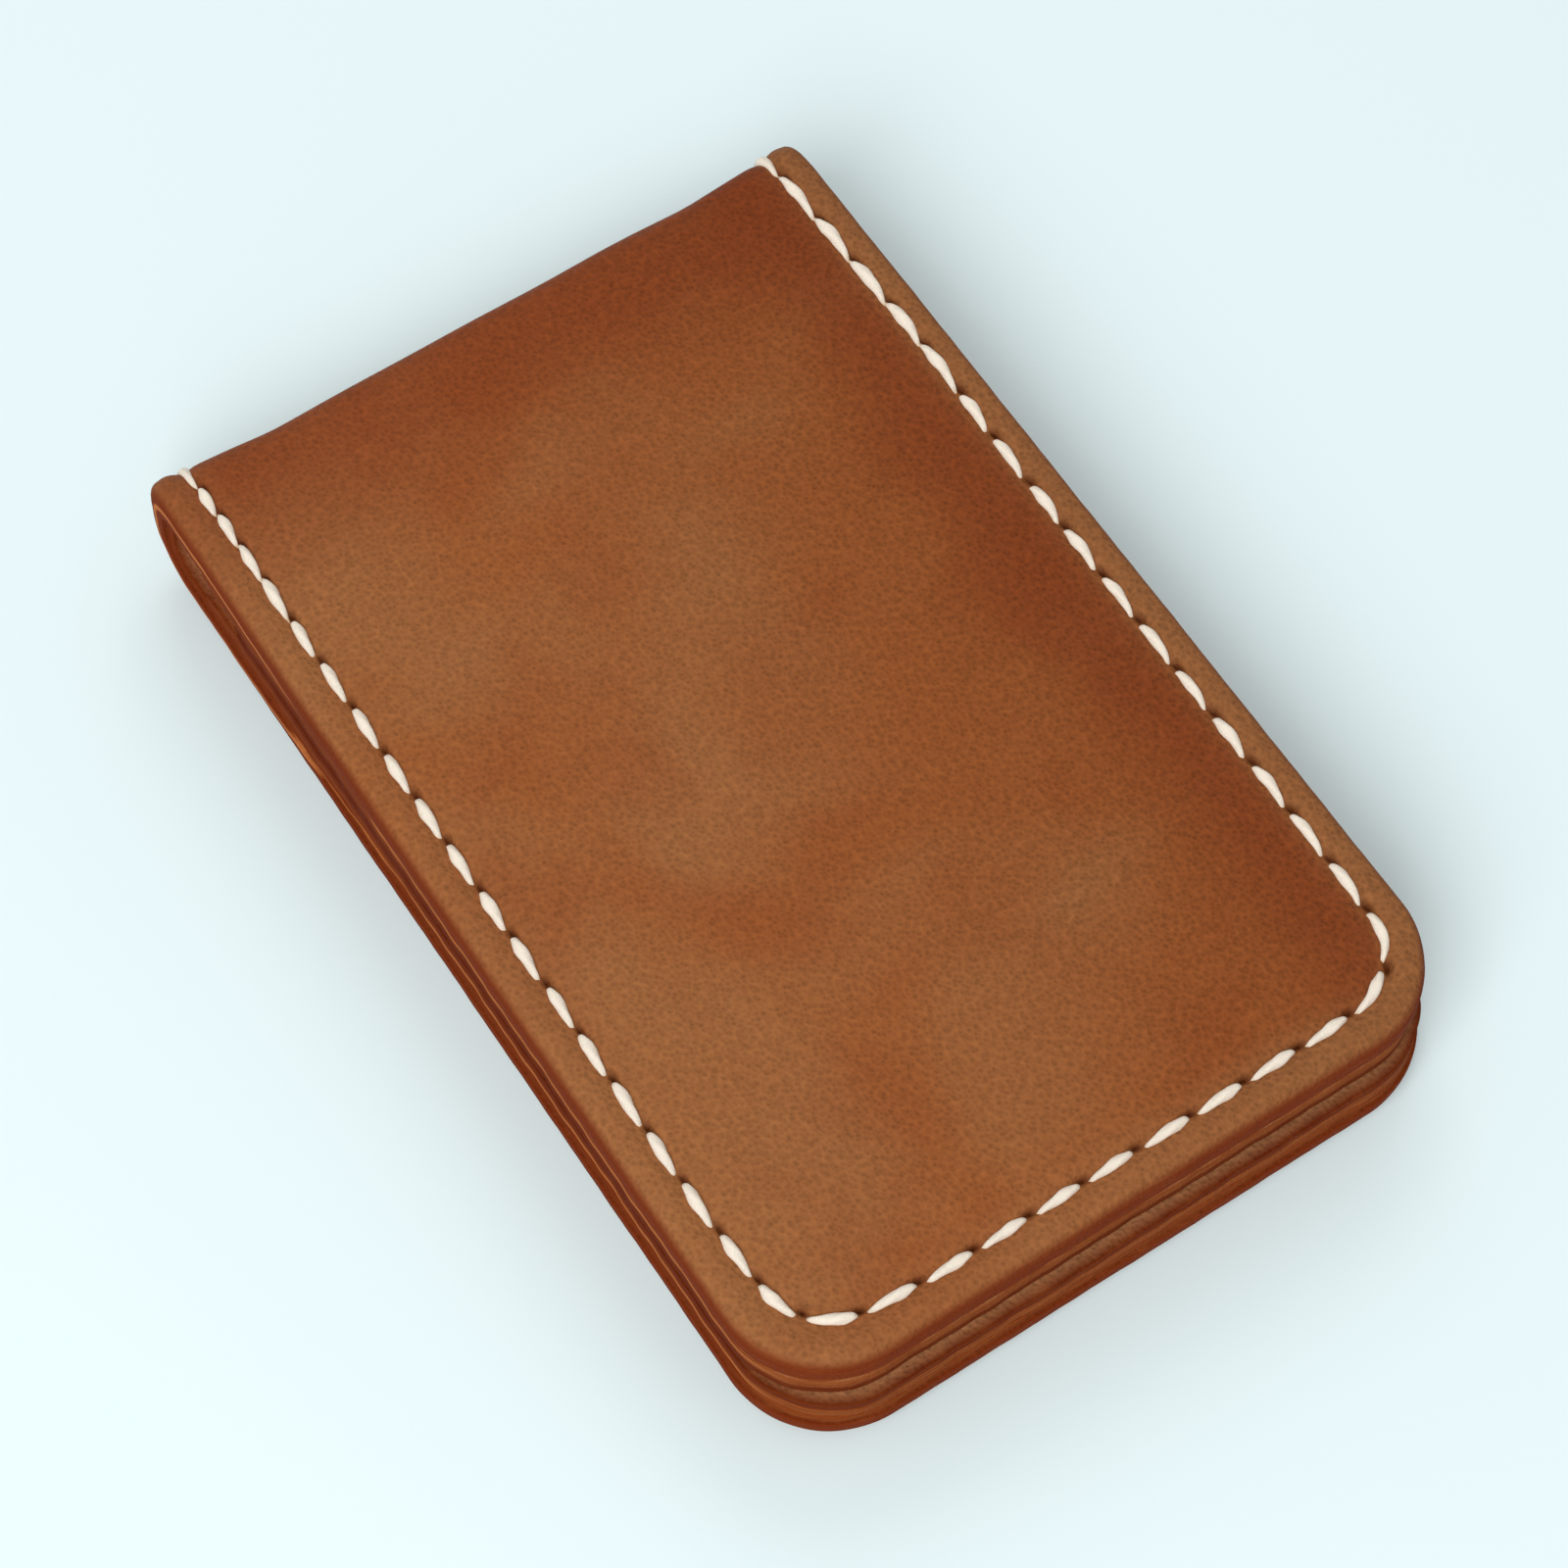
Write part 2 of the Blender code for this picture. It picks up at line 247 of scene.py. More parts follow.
@dataclass(frozen=True)
class Fold:
    """The closed case's sizes, read from the frame, and the way its flat pattern folds."""

    width: float
    length: float
    radius: float
    shortfall: float
    corner: float = 9.5
    margin: float = 3.5
    upper_squareness: float = 3.8
    lower_squareness: float = 2.05

    @classmethod
    def from_frame(cls) -> "Fold":
        """Reads the case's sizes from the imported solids."""
        size = (CAD_BOX[1] - CAD_BOX[0]) / METRES
        shortfall = (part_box("front_cover")[0].y - CAD_BOX[0].y) / METRES
        return cls(size.x, size.y, size.z / 2, shortfall)

    @property
    def centre(self) -> tuple[float, float]:
        """The middle of the fold: its place towards the spine, and its height."""
        return self.length / 2 - self.radius, self.radius

    @property
    def cut(self) -> float:
        """How far along the pattern the outer slats' middles lie."""
        return self.radius * HALF_TURN / 2

    def half(self, end: int) -> Half:
        """The front half for end 1, and the back half for end -1."""
        reach = self.radius * HALF_TURN + self.length - self.radius
        start = self.radius * HALF_TURN * 0.75
        if end > 0:
            reach -= self.shortfall
        name = "front" if end > 0 else "back"
        return Half(name, end, reach, self.corner, self.width, self.margin, start)

    def place(self, flat: Array) -> Array:
        """Folds points of the flat pattern.

        Args:
            flat: Rows of across, along and depth, in millimetres.

        Returns:
            Rows of x, y and z in the closed case, in metres.
        """
        across, along, depth = flat.T
        angle = np.clip(along / self.radius, -HALF_TURN, HALF_TURN)
        past = np.maximum(np.abs(along) - self.radius * HALF_TURN, 0.0)
        power = np.where(angle > 0, self.upper_squareness, self.lower_squareness)
        bulge = (np.abs(np.cos(angle)) ** power + np.abs(np.sin(angle)) ** power) ** (-1 / power)
        reach = (self.radius - depth) * bulge
        toward, height = self.centre
        y = toward + reach * np.cos(angle) - past
        z = height + reach * np.sin(angle)
        return np.column_stack([across, y, z]) * METRES

    def depths(self, node: str) -> tuple[float, float]:
        """The depths of a front layer's grain side and flesh side below the outer grain."""
        low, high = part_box(node)
        top = CAD_BOX[1].z
        return (top - high.z) / METRES, (top - low.z) / METRES


FOLD = Fold.from_frame()
FRONT = FOLD.half(1)
BACK = FOLD.half(-1)


# ---------------------------------------------------------------- finishes


class Value:
    """A number that flows out of a node, with arithmetic that adds Math nodes."""

    def __init__(self, graph: "Graph", socket: bpy.types.NodeSocket) -> None:
        """Wraps one output socket of a graph."""
        self.graph = graph
        self.socket = socket

    def _with(self, operation: str, first: Any, second: Any = None) -> "Value":
        """Adds one Math node for an operation on two values."""
        inputs = {0: first} if second is None else {0: first, 1: second}
        node = self.graph.node("ShaderNodeMath", {"operation": operation}, inputs)
        return Value(self.graph, node.outputs[0])

    def __add__(self, other: Any) -> "Value":
        """This value plus another."""
        return self._with("ADD", self, other)

    __radd__ = __add__

    def __sub__(self, other: Any) -> "Value":
        """This value less another."""
        return self._with("SUBTRACT", self, other)

    def __rsub__(self, other: Any) -> "Value":
        """Another value less this one."""
        return self._with("SUBTRACT", other, self)

    def __mul__(self, other: Any) -> "Value":
        """This value times another."""
        return self._with("MULTIPLY", self, other)

    __rmul__ = __mul__

    def __abs__(self) -> "Value":
        """This value without its sign."""
        return self._with("ABSOLUTE", self)

    def step(self, low: float, high: float) -> "Value":
        """A smooth step from 0 where this value is low to 1 where it is high."""
        settings = {"interpolation_type": "SMOOTHSTEP"}
        inputs = {"Value": self, "From Min": low, "From Max": high}
        return Value(self.graph, self.graph.node("ShaderNodeMapRange", settings, inputs).outputs[0])


class Graph:
    """A material's node tree, built from expressions."""

    def __init__(self, name: str) -> None:
        """Starts an empty material."""
        self.material = bpy.data.materials.new(name)
        self.material.use_nodes = True
        self.tree = self.material.node_tree
        self.tree.nodes.clear()

    def node(self, kind: str, settings: dict[str, Any], inputs: dict[Any, Any]) -> bpy.types.Node:
        """Adds one node.

        Args:
            kind: The node's type.
            settings: Its properties, set before its inputs.
            inputs: A number, colour, Value or socket for each named or numbered input.

        Returns:
            The node.
        """
        node = self.tree.nodes.new(kind)
        for key, value in settings.items():
            setattr(node, key, value)
        for key, value in inputs.items():
            socket = node.inputs[key]
            if isinstance(value, Value):
                value = value.socket
            if isinstance(value, bpy.types.NodeSocket):
                self.tree.links.new(value, socket)
            else:
                socket.default_value = value
        return node

    def attribute(self, name: str) -> tuple[bpy.types.NodeSocket, list[Value]]:
        """A vector that the mesh carries, whole and split in three."""
        settings = {"attribute_type": "GEOMETRY", "attribute_name": name}
        vector = self.node("ShaderNodeAttribute", settings, {}).outputs["Vector"]
        parts = self.node("ShaderNodeSeparateXYZ", {}, {0: vector}).outputs
        return vector, [Value(self, part) for part in parts]

    def stretch(self, vector: bpy.types.NodeSocket, scale: Sequence[float]) -> bpy.types.NodeSocket:
        """A vector times a fixed scale on each axis."""
        node = self.node("ShaderNodeVectorMath", {"operation": "MULTIPLY"}, {0: vector, 1: scale})
        return node.outputs[0]

    def noise(self, vector: bpy.types.NodeSocket, scale: float, detail: float = 2.0,
              roughness: float = 0.5, twist: float = 0.0) -> Value:
        """Soft noise with a number of waves to a millimetre."""
        inputs = {"Vector": vector, "Scale": scale, "Detail": detail,
                  "Roughness": roughness, "Distortion": twist}
        return Value(self, self.node("ShaderNodeTexNoise", {}, inputs).outputs["Fac"])

    def cells(self, vector: bpy.types.NodeSocket, scale: float) -> Value:
        """The distance from the nearest point of a scatter, for pebbled grain."""
        settings = {"feature": "SMOOTH_F1"}
        inputs = {"Vector": vector, "Scale": scale, "Smoothness": 0.6}
        return Value(self, self.node("ShaderNodeTexVoronoi", settings, inputs).outputs["Distance"])

    def mix(self, share: Any, first: Any, second: Any) -> bpy.types.NodeSocket:
        """A colour between two, or the second multiplied in where it is a tint."""
        pair = [(*c, 1.0) if isinstance(c, tuple) else c for c in (first, second)]
        node = self.node("ShaderNodeMix", {"data_type": "RGBA"}, {0: share, 6: pair[0], 7: pair[1]})
        return node.outputs[2]

    def shade(self, colour: bpy.types.NodeSocket, amount: Value) -> bpy.types.NodeSocket:
        """A colour made lighter or darker by an amount that is 1 for no change."""
        scale = self.node("ShaderNodeCombineXYZ", {}, {0: amount, 1: amount, 2: amount})
        settings = {"operation": "MULTIPLY"}
        return self.node("ShaderNodeVectorMath", settings, {0: colour, 1: scale.outputs[0]}).outputs[0]

    def finish(self, colour: bpy.types.NodeSocket, roughness: Value, height: Value, relief: float,
               **fixed: float) -> bpy.types.Material:
        """Ends the graph in a Principled shader.

        Args:
            colour: The base colour.
            roughness: The roughness.
            height: The fine relief, about 0 to 1.
            relief: How high 1 stands, in metres.
            **fixed: Other inputs that are the same all over, with _ for a space.

        Returns:
            The material.
        """
        bump = self.node("ShaderNodeBump", {}, {"Height": height, "Distance": relief, "Strength": 1.0})
        inputs = {"Base Color": colour, "Roughness": roughness, "Normal": bump.outputs[0]}
        inputs.update({key.replace("_", " "): value for key, value in fixed.items()})
        shader = self.node("ShaderNodeBsdfPrincipled", {}, inputs)
        self.node("ShaderNodeOutputMaterial", {}, {"Surface": shader.outputs[0]})
        return self.material


@dataclass(frozen=True)
class LeatherFinish:
    """One kind of leather: its face, its cut edge, its grain, and the light and shade painted on them.
    """

    name: str
    slot: str
    face: Colour
    # Gold: the leather's own clouds and its rim, and also the painted light that lifts the left side.
    gold: Colour
    # Red: the leather's own blotches, and also the painted shade along the spine and inside the right
    # seam.
    red: Colour
    burnish: Colour
    bare_and_highlight: Colour
    bare_sides: float
    bare_end: float
    # The colour of the painted shade in the awl holes.
    pit: Colour = (0.075, 0.013, 0.002)
    grain: float = 1.7
    relief: float = 0.00026
    roughness: float = 0.52

    def build(self) -> bpy.types.Material:
        """Makes the material."""
        graph = Graph(self.name)
        flat, (across, along, depth) = graph.attribute("pattern")
        _, (inset, pit, cut) = graph.attribute("marks_and_shade")
        clouds = graph.noise(flat, 0.035, 2.0, 0.5, 0.4)
        blotches = graph.noise(flat, 0.06, 2.0, 0.5, 0.6)
        grain = graph.noise(flat, self.grain, 4.0, 0.62)
        pebbles = graph.cells(flat, self.grain * 1.35)
        colour = self._face(graph, along, across, inset, clouds, blotches)
        # Grain speckle, with painted shade that darkens the face towards its right side.
        speckle_and_shade = (grain - 0.5) * 0.62 + (pebbles - 0.4) * 0.42 + 1.05 - across.step(-20.0, 33.0) * 0.16
        colour = graph.shade(colour, speckle_and_shade)
        colour = graph.mix(cut, colour, self._edge(graph, flat, along, depth))
        # Painted shade in the awl holes.
        colour = graph.mix(pit, colour, self.pit)
        rough = self.roughness + (blotches - 0.5) * 0.16 + (grain - 0.5) * 0.1 + cut * 0.3
        height = grain * 0.55 + pebbles * 0.45
        return graph.finish(colour, rough, height, self.relief, Specular_IOR_Level=0.06)

    def _face(self, graph: Graph, along: Value, across: Value, inset: Value, clouds: Value,
              blotches: Value) -> bpy.types.NodeSocket:
        """The grain side's colour: tan clouded with gold that is drawn left as painted light, redder
        with painted shade along the spine, and with painted shade inside the right seam.
        """
        # Gold clouds of the leather, drawn towards the left side as painted light.
        colour = graph.mix((clouds - across * 0.004).step(0.36, 0.68) * 0.75, self.face, self.gold)
        colour = graph.mix(blotches.step(0.45, 0.75) * 0.35, colour, self.red)
        rim = 1.0 - inset.step(2.2, 6.5)
        # Darker and redder towards the spine: painted shade where the fold turns away from the light,
        # over a redder tone of the leather.
        spine = 1.0 - (abs(along) + (clouds - 0.5) * 14.0).step(9.0, 24.0)
        colour = graph.mix(spine * 0.75, colour, self.red)
        colour = graph.mix(rim * (across.step(-20.0, 25.0) * 0.45 + 0.35), colour, self.gold)
        # Painted shade, darker and redder, inside the right seam.
        beside = (across + (blotches - 0.5) * 5.0).step(17.0, 27.0) * inset.step(2.8, 4.6)
        return graph.mix(beside * 0.7, colour, self.red)

    def _edge(self, graph: Graph, flat: bpy.types.NodeSocket, along: Value,
              depth: Value) -> bpy.types.NodeSocket:
        """The cut edge's colour: burnished dark, with one painted highlight line and fine streaks along
        it.
        """
        streaks = graph.noise(graph.stretch(flat, (0.25, 0.25, 4.0)), 1.0, 4.0, 0.65)
        away = abs(along)
        ends = away.step(FRONT.straight - 1.0, FRONT.straight + 7.0)
        # A painted highlight line along the edge, deeper away from the spine and gone at the free end.
        line = 1.5 + 3.0 * away.step(12.0, 55.0) + (streaks - 0.5) * 0.25
        highlight_line = (1.0 - abs(depth - line).step(0.1, 0.4)) * (1.0 - ends)
        bare_and_highlight = self.bare_sides + ends * (self.bare_end - self.bare_sides) + highlight_line * 0.75
        share = (streaks - 0.5) * 0.8 + bare_and_highlight
        return graph.mix(share.step(0.15, 0.95), self.burnish, self.bare_and_highlight)


@dataclass(frozen=True)
class ThreadFinish:
    """Thick waxed thread, cream, darker and yellower where it dives into the holes."""

    name: str = "waxed_thread"
    slot: str = "waxed_thread"
    cream: Colour = (0.93, 0.83, 0.70)
    shadow: Colour = (0.66, 0.45, 0.27)

    def build(self) -> bpy.types.Material:
        """Makes the material."""
        graph = Graph(self.name)
        strand, (_, _, ends) = graph.attribute("strand")
        fibres = graph.noise(graph.stretch(strand, (1.2, 9.0, 0.0)), 2.2, 4.0, 0.7)
        colour = graph.mix(ends.step(0.35, 1.0), self.cream, self.shadow)
        colour = graph.shade(colour, 0.94 + fibres * 0.12)
        rough = 0.5 + fibres * 0.25
        return graph.finish(colour, rough, fibres, 0.00005, Specular_IOR_Level=0.4, Sheen_Weight=0.15)


@dataclass(frozen=True)
class PlainFinish:
    """The pale studio floor."""

    name: str
    colour: Colour
    roughness: float = 0.75

    def build(self) -> bpy.types.Material:
        """Makes the material."""
        graph = Graph(self.name)
        inputs = {"Base Color": (*self.colour, 1.0), "Roughness": self.roughness}
        shader = graph.node("ShaderNodeBsdfPrincipled", {}, inputs)
        graph.node("ShaderNodeOutputMaterial", {}, {"Surface": shader.outputs[0]})
        return graph.material


class Finish(Enum):
    """The finishes of the case."""

    COVER = LeatherFinish("cover_leather", "cover_leather", face=(0.262, 0.075, 0.0185),
                          gold=(0.285, 0.115, 0.040), red=(0.20, 0.040, 0.009),
                          burnish=(0.165, 0.024, 0.003), bare_and_highlight=(0.47, 0.15, 0.042),
                          bare_sides=0.1, bare_end=0.2)
    LINING = LeatherFinish("lining_leather", "lining_leather", face=(0.37, 0.15, 0.065),
                           gold=(0.36, 0.17, 0.08), red=(0.30, 0.10, 0.04),
                           burnish=(0.17, 0.026, 0.003), bare_and_highlight=(0.37, 0.105, 0.024),
                           bare_sides=0.15, bare_end=0.4, roughness=0.66)
    CARD_POCKET = LeatherFinish("pocket_leather", "pocket_leather", face=(0.36, 0.135, 0.052),
                                gold=(0.35, 0.155, 0.065), red=(0.29, 0.09, 0.032),
                                burnish=(0.17, 0.028, 0.004), bare_and_highlight=(0.40, 0.125, 0.032),
                                bare_sides=0.25, bare_end=0.45, roughness=0.6)
    # The card pocket's leather again, with its cut edge painted darker as shade in the gap between the
    # halves.
    SHORT_POCKET = LeatherFinish("short_pocket_shaded_leather", "pocket_leather", face=(0.36, 0.135, 0.052),
                                 gold=(0.35, 0.155, 0.065), red=(0.29, 0.09, 0.032),
                                 burnish=(0.12, 0.016, 0.002), bare_and_highlight=(0.34, 0.095, 0.022),
                                 bare_sides=0.15, bare_end=0.3, roughness=0.6)
    THREAD = ThreadFinish()


class Wardrobe:
    """The materials, each made once."""

    def __init__(self) -> None:
        """Starts with none made."""
        self.made: dict[Finish, bpy.types.Material] = {}

    def dress(self, piece: bpy.types.Object, finish: Finish) -> None:
        """Gives a piece its finish."""
        if finish not in self.made:
            self.made[finish] = finish.value.build()
        piece.data.materials.append(self.made[finish])


# ---------------------------------------------------------------- sheets of leather


@dataclass
class Flat:
    """A flat sheet before it is folded: its points, what each point carries, and its faces."""

    points: Array
    marks_and_shade: Array
    faces: list[list[int]]

    def part(self, low: float, high: float) -> "Flat":
        """The faces between two places along the pattern, with the cut ends closed.

        Args:
            low: Where the part starts.
            high: Where it ends.

        Returns:
            The part, as its own sheet.
        """
        along = self.points[:, 1]
        kept = [face for face in self.faces if low < along[face].mean() < high]
        used = np.unique(np.concatenate([np.array(face) for face in kept]))
        renumber = np.full(len(self.points), -1)
        renumber[used] = np.arange(len(used))
        faces = [renumber[face].tolist() for face in kept]
        points = self.points[used]
        for cut in (low, high):
            rim = rim_loop(points, faces, cut)
            if rim:
                start, stop = np.argmin(points[rim, 0]), np.argmax(points[rim, 0])
                turned = rim[start:] + rim[:start]
                middle = (stop - start) % len(rim)
                back = [turned[0]] + turned[:middle - 1:-1]
                faces += zip_strip(points[:, 0], turned[:middle + 1], back)
        return Flat(points, self.marks_and_shade[used], faces)

    def make(self, name: str) -> bpy.types.Object:
        """Folds the sheet and makes it an object, with its pattern and the marks for its edge colour and
        painted shade on the mesh.
        """
        mesh = bpy.data.meshes.new(name)
        mesh.from_pydata(FOLD.place(self.points).tolist(), [], self.faces)
        for key, values in (("pattern", self.points), ("marks_and_shade", self.marks_and_shade)):
            attribute = mesh.attributes.new(key, "FLOAT_VECTOR", "POINT")
            attribute.data.foreach_set("vector", values.astype(np.float32).ravel())
        close_and_face_out(mesh)
        mesh.shade_smooth()
        mesh.set_sharp_from_angle(angle=math.radians(50))
        return add_object(name, mesh)


def rim_loop(points: Array, faces: list[list[int]], cut: float) -> list[int]:
    """The open rim of a sheet at a cut across the pattern.

    Args:
        points: The sheet's points.
        faces: Its faces.
        cut: Where along the pattern it was cut.

    Returns:
        The rim's points in order, or an empty list where nothing was cut.
    """
    close = np.abs(points[:, 1] - cut) < 1.0
    uses: dict[tuple[int, int], int] = {}
    for face in faces:
        if close[face[0]]:
            for first, second in zip(face, face[1:] + face[:1]):
                key = (min(first, second), max(first, second))
                uses[key] = uses.get(key, 0) + 1
    on_cut = np.abs(points[:, 1] - cut) < 0.3
    neighbours: dict[int, list[int]] = {}
    for (first, second), count in uses.items():
        if count == 1 and on_cut[first] and on_cut[second]:
            neighbours.setdefault(first, []).append(second)
            neighbours.setdefault(second, []).append(first)
    if not neighbours:
        return []
    loop = [next(iter(neighbours))]
    before = -1
    while len(loop) < len(neighbours):
        onward = [spot for spot in neighbours[loop[-1]] if spot != before]
        before = loop[-1]
        loop.append(onward[0])
    return loop


def zip_strip(across: Array, first: Sequence[int], second: Sequence[int]) -> list[list[int]]:
    """Triangles between two rows of points that both run the same way across the pattern.

    Args:
        across: Every point's place across the pattern.
        first: One row's points.
        second: The other row's points.

    Returns:
        The triangles.
    """
    way = 1.0 if across[first[-1]] > across[first[0]] else -1.0
    i, j = 0, 0
    faces = []
    while i < len(first) - 1 or j < len(second) - 1:
        ahead = j == len(second) - 1 or (
            i < len(first) - 1 and way * across[first[i + 1]] <= way * across[second[j + 1]])
        corner = first[i + 1] if ahead else second[j + 1]
        if len({first[i], second[j], corner}) == 3:
            faces.append([int(first[i]), int(second[j]), int(corner)])
        i, j = (i + 1, j) if ahead else (i, j + 1)
    return faces


def close_and_face_out(mesh: bpy.types.Mesh) -> None:
    """Closes a mesh's open ends and turns its faces outward."""
    work = bmesh.new()
    work.from_mesh(mesh)
    open_edges = [edge for edge in work.edges if edge.is_boundary]
    if open_edges:
        bmesh.ops.holes_fill(work, edges=open_edges, sides=0)
    bmesh.ops.recalc_face_normals(work, faces=work.faces)
    if work.calc_volume(signed=True) < 0:
        bmesh.ops.reverse_faces(work, faces=work.faces)
    work.to_mesh(mesh)
    work.free()


def add_object(name: str, data: Any) -> bpy.types.Object:
    """A new object in the scene."""
    thing = bpy.data.objects.new(name, data)
    bpy.context.scene.collection.objects.link(thing)
    return thing


@dataclass
class Outline:
    """The points round the pattern's rounded outline, the same for every ring of every layer."""

    spacing: float = 0.36
    stops: tuple[float, ...] = ()

    def __post_init__(self) -> None:
        """Spaces the points along the sides, the ends and the corners."""
        marks = sorted({-BACK.straight, -FOLD.cut, 0.0, FOLD.cut, FRONT.straight, *self.stops})
        runs = [self._run(a, b)[:-1] for a, b in zip(marks, marks[1:])]
        self.side = np.concatenate([*runs, [FRONT.straight]])
        self.end = self._run(FRONT.bottom / 2, -FRONT.bottom / 2)
        self.turn = np.linspace(0.0, HALF_TURN, math.ceil(FOLD.corner * HALF_TURN / self.spacing) + 1)

    def _run(self, start: float, stop: float) -> Array:
        """Evenly spaced places from start to stop, both included."""
        return np.linspace(start, stop, max(1, math.ceil(abs(stop - start) / self.spacing)) + 1)

    def ring(self, inset: float) -> Array:
        """The outline drawn in by an inset, as rows of across and along."""
        half = FRONT.bottom / 2
        radius = max(FOLD.corner - inset, 0.0)
        edge = half + radius
        side, end = np.ones(len(self.side) - 1), np.ones(len(self.end) - 1)
        rows = [np.column_stack([side * edge, self.side[:-1]])]
        corners = [(half, FRONT.straight), (-half, FRONT.straight),
                   (-half, -BACK.straight), (half, -BACK.straight)]
        stretches = [np.column_stack([self.end[:-1], end * (FRONT.straight + radius)]),
                     np.column_stack([side * -edge, self.side[:0:-1]]),
                     np.column_stack([self.end[:0:-1], end * (-BACK.straight - radius)])]
        for index, (x, y) in enumerate(corners):
            angle = self.turn[:-1] + index * HALF_TURN
            rows.append(np.column_stack([x + radius * np.cos(angle), y + radius * np.sin(angle)]))
            if index < len(stretches):
                rows.append(stretches[index])
        return np.concatenate(rows)

    def travel(self) -> tuple[Array, Array, Array]:
        """Each outline point's place beside the seam.

        Returns:
            The distances along the half's seam, the halves as 1 or -1, and the seam's stray there.
        """
        ring = self.ring(FOLD.margin)
        distance = np.empty(len(ring))
        stray = np.empty(len(ring))
        end = np.where(ring[:, 1] >= 0, 1, -1)
        for half in (FRONT, BACK):
            mine = end == half.end
            x, y = ring[mine, 0], ring[mine, 1] * half.end
            angle = np.arctan2(np.maximum(y - half.straight, 0.0), np.abs(x) - half.bottom / 2)
            right = np.where(np.abs(x) > half.bottom / 2,
                             np.minimum(y, half.straight) + np.clip(angle, 0, HALF_TURN) * half.bend,
                             half.straight + half.arc + half.bottom / 2 - np.abs(x))
            distance[mine] = np.where(x > 0, right, half.seam - right)
            stray[mine] = half.stray(distance[mine])
        return distance, end, stray


@dataclass
class Stitching:
    """How the seam presses on the leather: a shallow channel, with a slanted hole between stitches."""

    channel: float = 0.24
    channel_width: float = 0.85
    pit: float = 0.6
    pit_long: float = 0.62
    pit_wide: float = 0.3
    pit_aside: float = 0.36
    slant: float = 0.5

    def press(self, inset: Array, distance: Array, end: Array) -> tuple[Array, Array]:
        """How deep each point is pressed, and how far it is inside a hole.

        Args:
            inset: Each point's distance in from the outline, with the seam's stray added.
            distance: Its distance along its half's seam.
            end: 1 or -1 for its half.

        Returns:
            The depths, and the shares from 0 to 1.
        """
        aside = inset - FOLD.margin
        depth = self.channel * hump(aside, 0.0, self.channel_width)
        share = np.zeros_like(inset)
        for half in (FRONT, BACK):
            mine = end == half.end
            for hole in half.holes():
                near = mine & (np.abs(distance - hole) < 2.0) & (np.abs(aside) < 2.0)
                toward = -1.0 if half.side_of(hole) is Side.RIGHT else 1.0
                u = distance[near] - hole
                v = aside[near] - toward * self.pit_aside
                lean = toward * self.slant
                inside = ((u - lean * v) / self.pit_long) ** 2 + (v / self.pit_wide) ** 2
                share[near] = np.maximum(share[near], np.exp(-inside))
        return depth + self.pit * share, share


